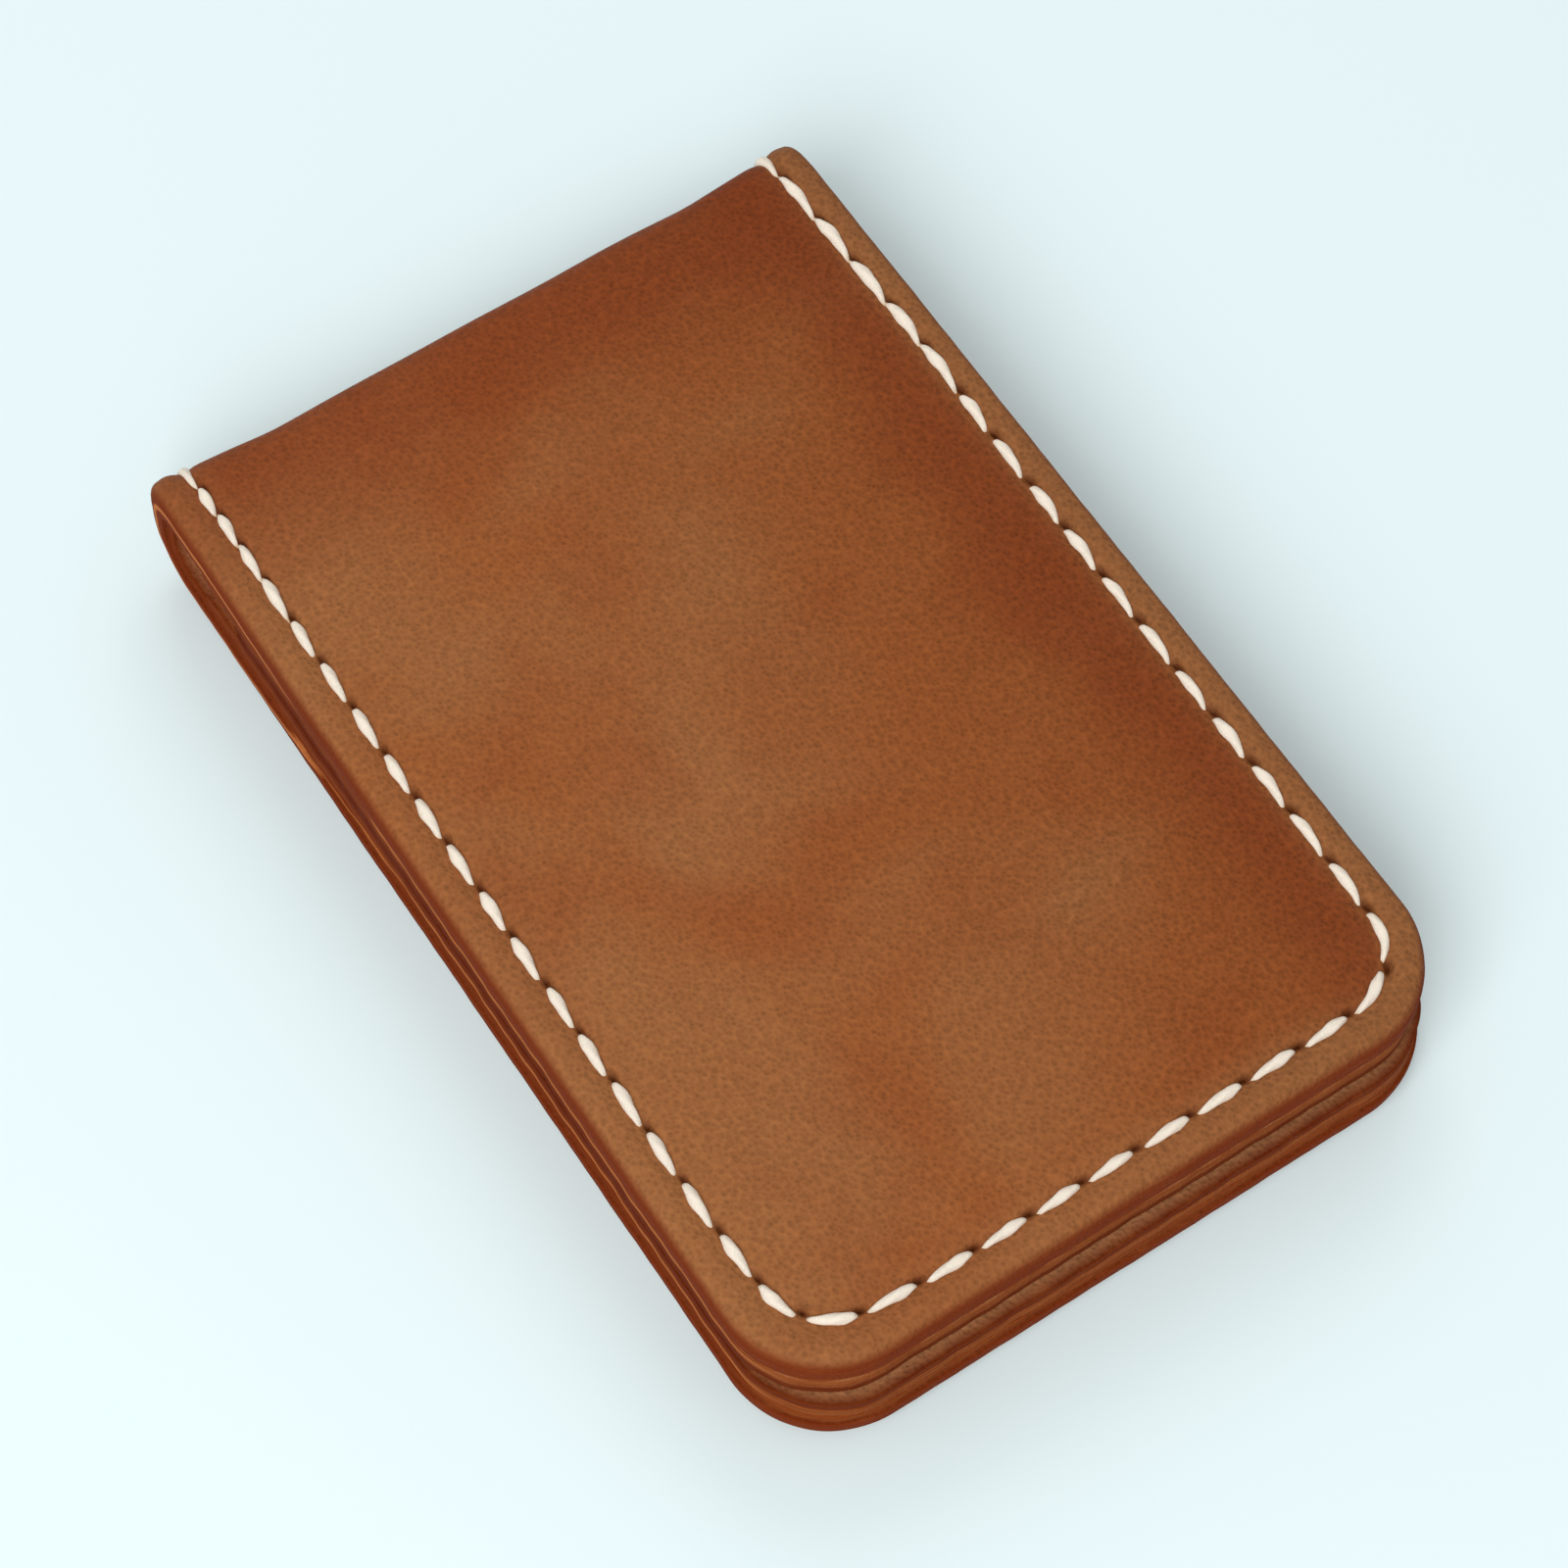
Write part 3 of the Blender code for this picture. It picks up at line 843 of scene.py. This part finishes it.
@dataclass
class Layer:
    """One layer of leather: where it lies, how its edge is shaped, and what is pressed into it."""

    name: str
    finish: Finish
    top: float
    bottom: float
    inset: float
    round_in: float
    round_down: float
    seed: int
    seam_outside: bool = False
    seam_inside: bool = False
    uneven: float = 0.07
    stops: tuple[float, ...] = ()
    columns: int = 33
    flesh_round: float = 0.16
    rim: float = 0.16
    plump: float = 0.22
    softness: tuple[float, float] = (0.09, 0.07)
    sag: float = 0.85
    sag_reach: float = 12.0
    inner_press: float = 0.6

    def section(self) -> list[tuple[float, float, float]]:
        """Rows of inset, depth and share of cut edge, from the grain side round to the flesh side."""
        seam = np.linspace(FOLD.margin - 1.15, FOLD.margin + 1.15, 14)
        inner = [FOLD.corner, 8.0, 6.8, 5.8, 5.2, *seam[::-1], 2.0, 1.65, 1.3]
        turns = np.linspace(0.0, HALF_TURN, 8)
        rows = [(self.inset + place, self.top, 0.0) for place in inner]
        for turn in turns:
            share = float(step(0.08, 0.72, np.array(turn / HALF_TURN)))
            rows.append((self.inset + self.round_in * (1 - math.sin(turn)),
                         self.top + self.round_down * (1 - math.cos(turn)), share))
        middle = np.linspace(self.top + self.round_down, self.bottom - self.flesh_round, 5)[1:]
        rows += [(self.inset, float(depth), 1.0) for depth in middle]
        rows += [(self.inset + self.flesh_round * (1 - math.cos(turn)),
                  self.bottom - self.flesh_round * (1 - math.sin(turn)), 1.0) for turn in turns[2::2]]
        flesh = inner[::-1] if self.seam_inside else [1.3, 4.0, FOLD.corner]
        rows += [(self.inset + place, self.bottom, 0.0) for place in flesh]
        return rows

    def flat(self) -> Flat:
        """The whole closed flat sheet, with its relief."""
        outline = Outline(stops=self.stops)
        rows = self.section()
        distance, end, stray = outline.travel()
        count = len(distance)
        rings = np.concatenate([outline.ring(inset) for inset, _, _ in rows])
        section = np.repeat(np.array(rows), count, axis=0)
        points = np.column_stack([rings, section[:, 1]])
        marks_and_shade = np.column_stack([section[:, 0], np.zeros(len(points)), section[:, 2]])
        travel = np.tile(distance, len(rows))
        ends = np.tile(end, len(rows))
        strays = np.tile(stray, len(rows))
        faces = self._loft(len(rows), count)
        for start, depth in ((0, self.top), ((len(rows) - 1) * count, self.bottom)):
            more, grid = self._middle(outline, start, len(points), depth)
            faces += grid
            points = np.vstack([points, more])
            filler = np.zeros((len(more), 3))
            filler[:, 0] = FOLD.width / 2 - np.abs(more[:, 0])
            marks_and_shade = np.vstack([marks_and_shade, filler])
            travel = np.concatenate([travel, np.full(len(more), -99.0)])
            ends = np.concatenate([ends, np.zeros(len(more), int)])
            strays = np.concatenate([strays, np.zeros(len(more))])
        self._relief(points, marks_and_shade, travel, ends, strays)
        return weld(Flat(points, marks_and_shade, faces))

    def _loft(self, rings: int, count: int) -> list[list[int]]:
        """The faces between each ring and the next."""
        here = np.arange(count)
        after = np.roll(here, -1)
        bands = [np.column_stack([here, after, after + count, here + count]) + ring * count
                 for ring in range(rings - 1)]
        return np.concatenate(bands).tolist()

    def _middle(self, outline: Outline, start: int, first: int,
                depth: float) -> tuple[Array, list[list[int]]]:
        """The grid that fills the middle of one side.

        Args:
            outline: The outline's points.
            start: The number of the first point of the ring round the middle.
            first: The number that the grid's first point gets.
            depth: The depth of the side.

        Returns:
            The grid's points, and its faces.
        """
        across = np.linspace(FRONT.bottom / 2, -FRONT.bottom / 2, self.columns)
        rows = outline.side[1:-1]
        grid = np.array([(x, y, depth) for y in rows for x in across])
        spots = np.full(first + len(grid), 0.0)
        spots[first:] = grid[:, 0]
        number = np.arange(len(grid)).reshape(len(rows), self.columns) + first
        quads = np.stack([number[:-1, :-1], number[:-1, 1:], number[1:, 1:], number[1:, :-1]], axis=-1)
        faces = quads.reshape(-1, 4).tolist()
        turn = len(outline.turn) - 1
        side = len(outline.side) - 1
        far = start + side + turn
        far_row = list(range(far, far + len(outline.end)))
        near = start + 2 * side + 3 * turn + len(outline.end) - 1
        near_row = list(range(near, near + len(outline.end)))
        spots[far_row] = outline.end
        spots[near_row] = outline.end[::-1]
        faces += zip_strip(spots, far_row, number[-1])
        faces += zip_strip(spots, near_row[::-1], number[0])
        return grid, faces

    def _relief(self, points: Array, marks_and_shade: Array, travel: Array, end: Array, stray: Array) -> None:
        """Presses the seam in, makes the edge a little uneven and the panels a little soft."""
        across, along = points[:, 0].copy(), points[:, 1].copy()
        outside = points[:, 2] < self.top + 1e-6
        inside = points[:, 2] > self.bottom - 1e-6
        press, share = Stitching().press(marks_and_shade[:, 0] + stray, travel, end)
        if self.seam_outside:
            rim = self.rim * hump(marks_and_shade[:, 0], 1.9, 0.9)
            plump = self.plump * step(4.0, 10.0, marks_and_shade[:, 0])
            soft = self.softness[0] * wander(across * 0.9 + along * 0.35, self.seed, 13.0, 60.0)
            soft += self.softness[1] * wander(along - across * 0.5, self.seed + 1, 17.0, 75.0)
            sag = self.sag * (1 - step(20.0, 32.0, np.abs(across))) * hump(along, 0.0, self.sag_reach)
            lift = press + sag - rim - (plump + soft * step(3.0, 12.0, marks_and_shade[:, 0]))
            points[:, 2] += np.where(outside, lift, 0.0)
            # Each hole's share, which the finish paints as shade.
            marks_and_shade[:, 1] = np.where(outside, share, 0.0)
        if self.seam_inside:
            points[:, 2] -= np.where(inside, press * self.inner_press, 0.0)
            marks_and_shade[:, 1] = np.where(inside, share, marks_and_shade[:, 1])
        rough = self.uneven * wander(travel + 300.0 * end, self.seed + 2, 3.0, 34.0)
        edge = (travel > -50.0) * hump(marks_and_shade[:, 0], self.inset, 0.8)
        points[:, 0] -= np.sign(across) * rough * edge * step(20.0, 31.0, np.abs(across))
        points[:, 1] -= np.sign(along) * rough * edge * step(80.0, 97.0, np.abs(along))


def weld(flat: Flat) -> Flat:
    """Joins the points of a flat sheet that lie in the same place."""
    keys = np.round(flat.points, 4)
    _, first, index = np.unique(keys, axis=0, return_index=True, return_inverse=True)
    index = index.reshape(-1)
    faces = []
    for face in flat.faces:
        corners = list(dict.fromkeys(index[face].tolist()))
        if len(corners) > 2:
            faces.append(corners)
    return Flat(flat.points[first], flat.marks_and_shade[first], faces)


# ---------------------------------------------------------------- the case's pieces


@dataclass(frozen=True)
class Stretch:
    """A piece of a folding layer: its bodies, its stretch of the pattern and the hinge it crosses."""

    name: str
    bodies: tuple[str, str]
    low: float
    high: float
    hinge: float

    def bend(self, piece: bpy.types.Object, inner: float) -> None:
        """Works out where the piece meets its hinge, which nothing then uses, and bakes the piece's
        place into its mesh.

        Args:
            piece: The folded mesh.
            inner: The radius of the layer's flesh side in the fold.
        """
        toward, height = FOLD.centre
        centre = Vector((0.0, toward, height)) * METRES
        tangent = Vector((0.0, -math.sin(self.hinge), math.cos(self.hinge)))
        reach = tangent * (inner * math.sin(HALF_TURN / 4) * METRES)
        tuple(centre - reach)
        tuple(centre + reach)
        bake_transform(piece)


def stretches() -> list[Stretch]:
    """The four pieces of a layer that runs through the fold, cut in the middle of each slat."""
    slat = HALF_TURN / 2
    edges = [-BACK.reach - 1, -FOLD.cut, 0.0, FOLD.cut, FRONT.reach + 1]
    bodies = ["back", "fold_1", "fold_2", "fold_3", "front"]
    names = ["back", "spine_lower", "spine_upper", "front"]
    return [Stretch(names[i], (bodies[i], bodies[i + 1]), edges[i], edges[i + 1], slat * (i - 1.5))
            for i in range(4)]


@dataclass
class FoldingLayer:
    """The cover or the lining, one sheet that runs over both halves and through the fold."""

    layer: Layer
    nodes: str

    def build(self, wardrobe: Wardrobe) -> list[bpy.types.Object]:
        """Makes the layer's four pieces, and has them stand for the solids."""
        flat = self.layer.flat()
        pieces = []
        for stretch in stretches():
            piece = flat.part(stretch.low, stretch.high).make(f"{stretch.name}_{self.layer.name}")
            wardrobe.dress(piece, self.layer.finish)
            stretch.bend(piece, FOLD.radius - self.layer.bottom)
            pieces.append(piece)
        for piece, bodies in zip(pieces, (("back", "fold_1"), ("fold_2",), ("fold_3",), ("front",))):
            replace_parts(piece, *(f"{body}_{self.nodes}" for body in bodies))
        return pieces


@dataclass
class Pocket:
    """A pocket panel of one half, with a dipped mouth near the spine."""

    half: Half
    layer: Layer
    mouth: float
    dip_width: float
    dip: float
    lip: float = 0.35
    crease: float = 0.12

    def build(self, wardrobe: Wardrobe) -> bpy.types.Object:
        """Makes the panel."""
        flat = self.layer.flat()
        low, high = sorted([self.half.end * self.mouth, self.half.end * (self.half.reach + 1)])
        part = flat.part(low, high)
        self._shape_mouth(part)
        piece = part.make(f"{self.half.name}_{self.layer.name}_panel")
        wardrobe.dress(piece, self.layer.finish)
        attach(piece, self.half.name)
        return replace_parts(piece, f"{self.half.name}_{self.layer.name}")

    def _shape_mouth(self, part: Flat) -> None:
        """Dips the mouth in the middle and rounds its lip."""
        across, along = part.points[:, 0], part.points[:, 1] * self.half.end
        past = along - self.mouth
        middle = (self.layer.top + self.layer.bottom) / 2
        lip = 1.0 - self.lip * hump(past, 0.0, 0.5)
        part.points[:, 2] = middle + (part.points[:, 2] - middle) * lip
        crease = self.crease * hump(past, 2.2, 0.35) * (np.abs(across) < FRONT.bottom / 2 + 4)
        part.points[:, 2] -= crease * (part.points[:, 2] > middle)
        part.marks_and_shade[:, 2] = np.maximum(part.marks_and_shade[:, 2], hump(past, 0.0, 0.2))
        span = self.half.straight - self.mouth
        fade = np.clip(1.0 - past / span, 0.0, 1.0) ** 2
        share = 0.5 + 0.5 * np.cos(np.clip(across / self.dip_width, -1.0, 1.0) * math.pi)
        part.points[:, 1] += self.half.end * self.dip * share * fade


@dataclass
class Thread:
    """Waxed thread, sewn as one plump slanted stitch from each awl hole to the next."""

    radius: float = 0.5
    sides: int = 14
    sections: int = 26
    lobes: float = 0.09
    twist: float = 2.4
    sink: float = 0.62
    stand: float = 0.1
    doubled_until: float = 32.0
    doubled: float = 0.2
    spine_dip: float = 0.3
    flat_share: float = 0.92

    def stitch(self, half: Half, start: float, stop: float, surface: float, side: Side,
               seed: int, facing: int) -> tuple[Array, Array, list[list[int]]]:
        """One stitch as a closed spindle.

        Args:
            half: The half whose seam it lies on.
            start: The hole that it leaves, as a distance along the seam.
            stop: The hole that it enters.
            surface: The depth of the leather that it lies on.
            side: The stretch of seam, which sets how it bows and which end is blunt.
            seed: Sets its own small unevenness.
            facing: 1 for the outer side, -1 for the side that faces the cards.

        Returns:
            Its flat points, their strand values and its faces.
        """
        dice = np.random.default_rng(seed)
        t = (1 - np.cos(np.linspace(0.0, math.pi, self.sections))) / 2
        length = stop - start
        linked = half.is_backstitched((start + stop) / 2) or start < self.doubled_until
        first = (-0.03 if linked else 0.035) + dice.uniform(-0.02, 0.02)
        last = (1.08 if linked else 1.01) + dice.uniform(-0.02, 0.015)
        blunt = t if side is not Side.LEFT else 1 - t
        along = start + length * (first + (last - first) * t)
        if side is Side.LEFT:
            along = start + length * (1 - last + (last - first) * t)
        plump = np.clip(blunt / 0.3, 0.0, 1.0) ** 0.55 * np.clip((1 - blunt) / 0.6, 0.0, 1.0) ** 0.6
        doubled = self.doubled * math.exp(-((start - 22.0) / 11.0) ** 2)
        thinnest = 0.3 if linked else 0.12
        radius = self.radius * (1 + doubled + dice.uniform(-0.08, 0.08)) * np.maximum(plump, thinnest)
        dive = hump(blunt, 0.0, 0.06) + hump(1 - blunt, 0.0, 0.13)
        spine = min(start + stop, 2 * half.seam - start - stop) / 2
        sunk = self.sink * dive * (0.45 if linked else 1.0)
        height = self.stand - sunk - self.spine_dip * math.exp(-(spine / 9.0) ** 2)
        bow = np.sin(np.pi * blunt)
        tail = blunt ** 3
        if side is Side.RIGHT:
            aside = -0.26 * bow + 0.3 * tail + 0.04
        elif side is Side.END:
            aside = 0.06 * bow - 0.26 * blunt + 0.13
        else:
            aside = 0.06 * bow - 0.3 * blunt + 0.15
        aside = aside + dice.uniform(-0.05, 0.05)
        angle = np.linspace(0.0, 2 * math.pi, self.sides, endpoint=False)
        distance, turn = np.meshgrid(along, angle, indexing="ij")
        ply = 1 + self.lobes * np.cos(3 * turn - distance / self.twist * 2 * math.pi)
        swell = radius[:, None] * ply
        across, ahead = half.seam_point(distance, aside[:, None] + swell * np.cos(turn))
        depth = surface - facing * (height[:, None] + swell * np.sin(turn) * self.flat_share)
        points = np.stack([across, ahead, depth], axis=-1).reshape(-1, 3)
        ends = np.repeat(1 - np.clip(np.minimum(blunt / 0.1, (1 - blunt) / 0.3), 0, 1), self.sides)
        strand = np.column_stack([distance.ravel(), (turn + distance / self.twist).ravel(), ends])
        here = np.arange(self.sides)
        after = np.roll(here, -1)
        faces = []
        for row in range(self.sections - 1):
            base = row * self.sides
            band = np.column_stack([here, after, after + self.sides, here + self.sides]) + base
            faces += band.tolist()
        faces.append(here.tolist())
        faces.append((here + (self.sections - 1) * self.sides).tolist())
        return points, strand, faces

    def row(self, name: str,
            stitches: Iterable[tuple[Array, Array, list[list[int]]]]) -> bpy.types.Object:
        """Joins stitches in one object."""
        points, strands, faces = [], [], []
        count = 0
        for spots, strand, rim in stitches:
            points.append(spots)
            strands.append(strand)
            faces += [[corner + count for corner in face] for face in rim]
            count += len(spots)
        mesh = bpy.data.meshes.new(name)
        mesh.from_pydata(FOLD.place(np.concatenate(points)).tolist(), [], faces)
        attribute = mesh.attributes.new("strand", "FLOAT_VECTOR", "POINT")
        attribute.data.foreach_set("vector", np.concatenate(strands).astype(np.float32).ravel())
        close_and_face_out(mesh)
        mesh.shade_smooth()
        return add_object(name, mesh)


@dataclass
class Seams:
    """All the stitching: a long row on each side of each half, and one stitch on each slat."""

    thread: Thread
    depths: dict[str, float]
    mouths: tuple[float, float]
    channel: float = 0.22
    inner_press: float = 0.6

    def build(self, wardrobe: Wardrobe) -> list[bpy.types.Object]:
        """Sews both halves and the spine."""
        made = []
        for half in (FRONT, BACK):
            made.append(self._panel_row(half, 1, "outer_stitches"))
            made.append(self._panel_row(half, -1, "inner_stitches"))
        for slat in range(3):
            for left in (True, False):
                made.append(self._slat(slat, left, 1))
                made.append(self._slat(slat, left, -1))
        for piece in made:
            wardrobe.dress(piece, Finish.THREAD)
        return made

    def _surface(self, half: Half, middle: float, facing: int) -> float:
        """The depth of the leather under a stitch, at the bottom of its channel."""
        if facing > 0:
            return self.channel
        reach = min(middle, half.seam - middle)
        layer = "short_pocket"
        if reach < self.mouths[1]:
            layer = "lining" if reach < self.mouths[0] else "card_pocket"
        return self.depths[layer] - self.channel * self.inner_press

    def _panel_row(self, half: Half, facing: int, name: str) -> bpy.types.Object:
        """One long row of stitches that rides on its half."""
        holes = half.holes()[2:-2]
        sewn = []
        for index, (start, stop) in enumerate(zip(holes, holes[1:])):
            middle = (start + stop) / 2
            seed = index + 100 * facing + 1000 * (half.end + 2) + 5000
            surface = self._surface(half, middle, facing)
            side = half.side_of(middle)
            sewn.append(self.thread.stitch(half, start, stop, surface, side, seed, facing))
        piece = self.thread.row(f"{half.name}_{name}_thread", sewn)
        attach(piece, half.name)
        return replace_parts(piece, f"{half.name}_{name}")

    def _slat(self, slat: int, left: bool, facing: int) -> bpy.types.Object:
        """The stitch that crosses one slat of the spine."""
        place = FOLD.radius * HALF_TURN / 2
        low = place * (slat - 1.5)
        start, stop = (FRONT.seam - low - place, FRONT.seam - low) if left else (low, low + place)
        side = Side.LEFT if left else Side.RIGHT
        inner = self.depths["lining"] - self.channel * self.inner_press
        surface = self.channel if facing > 0 else inner
        sewn = self.thread.stitch(FRONT, start, stop, surface, side, 40 + slat + 10 * left, facing)
        where = f"fold_{slat + 1}_{side.value}_{'outer' if facing > 0 else 'inner'}_stitch"
        piece = self.thread.row(where + "_thread", [sewn])
        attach(piece, f"fold_{slat + 1}")
        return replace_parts(piece, where)


# ---------------------------------------------------------------- the studio


@dataclass(frozen=True)
class Studio:
    """The pale floor, the soft lights and the camera."""

    azimuth: float = -34.4
    elevation: float = 62.6
    roll: float = 1.15
    distance: float = 376.0
    aim_right: float = -0.53
    aim_up: float = 1.26
    lens: float = 101.25
    floor_drop: float = 0.46

    def build(self) -> None:
        """Sets the whole studio."""
        self._floor()
        self._lights()
        self._camera()

    def _floor(self) -> None:
        """A wide floor just below the thread that stands proud of the back."""
        size = 3.0
        corners = [(-size, -size, 0), (size, -size, 0), (size, size, 0), (-size, size, 0)]
        mesh = bpy.data.meshes.new("studio_floor")
        mesh.from_pydata([(x, y, -self.floor_drop * METRES) for x, y, _ in corners], [], [(0, 1, 2, 3)])
        mesh.materials.append(PlainFinish("floor_paint", (0.78, 0.92, 0.95)).build())
        add_object("studio_floor", mesh)

    def _lights(self) -> None:
        """An even pale sky and two soft boxes."""
        world = bpy.data.worlds.new("studio")
        bpy.context.scene.world = world
        world.use_nodes = True
        sky = world.node_tree.nodes["Background"]
        sky.inputs["Color"].default_value = (1.0, 0.985, 0.96, 1.0)
        sky.inputs["Strength"].default_value = 0.5
        self._soft_box("key_light", (-0.6, -0.42, 0.72), 0.7, 7.6)
        self._soft_box("fill_light", (0.3, 0.5, 0.6), 0.5, 1.2)

    def _soft_box(self, name: str, place: tuple[float, float, float], size: float, power: float) -> None:
        """A square soft light that faces the case."""
        light = bpy.data.lights.new(name, "AREA")
        light.size = size
        light.energy = power
        lamp = add_object(name, light)
        lamp.location = place
        lamp.rotation_euler = (-Vector(place)).to_track_quat("-Z", "Y").to_euler()

    def _camera(self) -> None:
        """A long lens that looks down on the case from its free end's left corner."""
        azimuth, elevation = math.radians(self.azimuth), math.radians(self.elevation)
        back = Vector((math.sin(azimuth) * math.cos(elevation),
                       -math.cos(azimuth) * math.cos(elevation), math.sin(elevation)))
        right = Vector((0.0, 0.0, 1.0)).cross(back).normalized()
        up = back.cross(right)
        roll = math.radians(self.roll)
        right, up = (right * math.cos(roll) + up * math.sin(roll),
                     up * math.cos(roll) - right * math.sin(roll))
        data = bpy.data.cameras.new("studio_camera")
        data.lens = self.lens
        data.sensor_width = 36.0
        data.clip_start = 0.01
        camera = add_object("studio_camera", data)
        place = (back * self.distance + right * self.aim_right + up * self.aim_up) * METRES
        turn = Matrix((right, up, back)).transposed().to_4x4()
        camera.matrix_world = Matrix.Translation(place) @ turn
        bpy.context.scene.camera = camera


# ---------------------------------------------------------------- putting it together


@dataclass
class CardCase:
    """The whole case."""

    edge_round: tuple[float, float] = (0.85, 1.7)
    tight: float = 0.06
    layer_inset: float = 0.3
    pocket_step: float = 5.2

    def layers(self) -> dict[str, tuple[float, float]]:
        """Each layer's depths, grown towards the next one so that they lie tight together."""
        names = ["cover", "lining", "card_pocket", "short_pocket"]
        depths = {name: FOLD.depths("front_" + name) for name in names}
        tops = [depths[name][0] for name in names[1:]]
        bottoms = [top - self.tight for top in tops] + [depths["short_pocket"][1]]
        return {name: (depths[name][0], bottom) for name, bottom in zip(names, bottoms)}

    def build(self) -> None:
        """Makes each sub-assembly and reports it."""
        wardrobe = Wardrobe()
        depths = self.layers()
        mouths = tuple(FRONT.panel_start + count * self.pocket_step for count in (1, 2))
        self._report("cover", self._cover(depths["cover"], wardrobe))
        self._report("lining", self._lining(depths["lining"], wardrobe))
        for half in (FRONT, BACK):
            self._report(half.name + " pockets", self._pockets(half, depths, mouths, wardrobe))
        seams = Seams(Thread(), {name: bottom for name, (_, bottom) in depths.items()}, mouths)
        self._report("seams", seams.build(wardrobe))

    def _cover(self, depths: tuple[float, float], wardrobe: Wardrobe) -> list[bpy.types.Object]:
        """The one-piece outer cover."""
        layer = Layer("outer_cover", Finish.COVER, *depths, 0.0, *self.edge_round, seed=11,
                      seam_outside=True, uneven=0.03)
        return FoldingLayer(layer, "cover").build(wardrobe)

    def _lining(self, depths: tuple[float, float], wardrobe: Wardrobe) -> list[bpy.types.Object]:
        """The one-piece lining."""
        layer = Layer("inner_lining", Finish.LINING, *depths, self.layer_inset, 0.16, 0.16, seed=23,
                      seam_inside=True, uneven=0.07)
        return FoldingLayer(layer, "lining").build(wardrobe)

    def _pockets(self, half: Half, depths: dict[str, tuple[float, float]], mouths: tuple[float, ...],
                 wardrobe: Wardrobe) -> list[bpy.types.Object]:
        """The deep card pocket and the short pocket of one half."""
        made = []
        finishes = {"card_pocket": Finish.CARD_POCKET, "short_pocket": Finish.SHORT_POCKET}
        dips = {"card_pocket": (14.0, 9.0), "short_pocket": (22.0, 28.0)}
        for (name, finish), mouth in zip(finishes.items(), mouths):
            layer = Layer(name, finish, *depths[name], self.layer_inset, 0.18, 0.18,
                          seed=31 + 7 * half.end, seam_inside=True, uneven=0.08,
                          stops=(half.end * mouth,), columns=65)
            made.append(Pocket(half, layer, mouth, *dips[name]).build(wardrobe))
        return made

    @staticmethod
    def _report(name: str, pieces: list[bpy.types.Object]) -> None:
        """Logs what was made."""
        points = sum(len(piece.data.vertices) for piece in pieces)
        LOG.info("%s: %d pieces, %d points", name, len(pieces), points)


def main() -> None:
    """Builds the studio and the case."""
    logging.basicConfig(level=logging.INFO, format="%(message)s", stream=sys.stdout)
    bpy.context.scene.view_settings.view_transform = "Standard"
    Studio().build()
    CardCase().build()


if __name__ == "__main__":
    main()
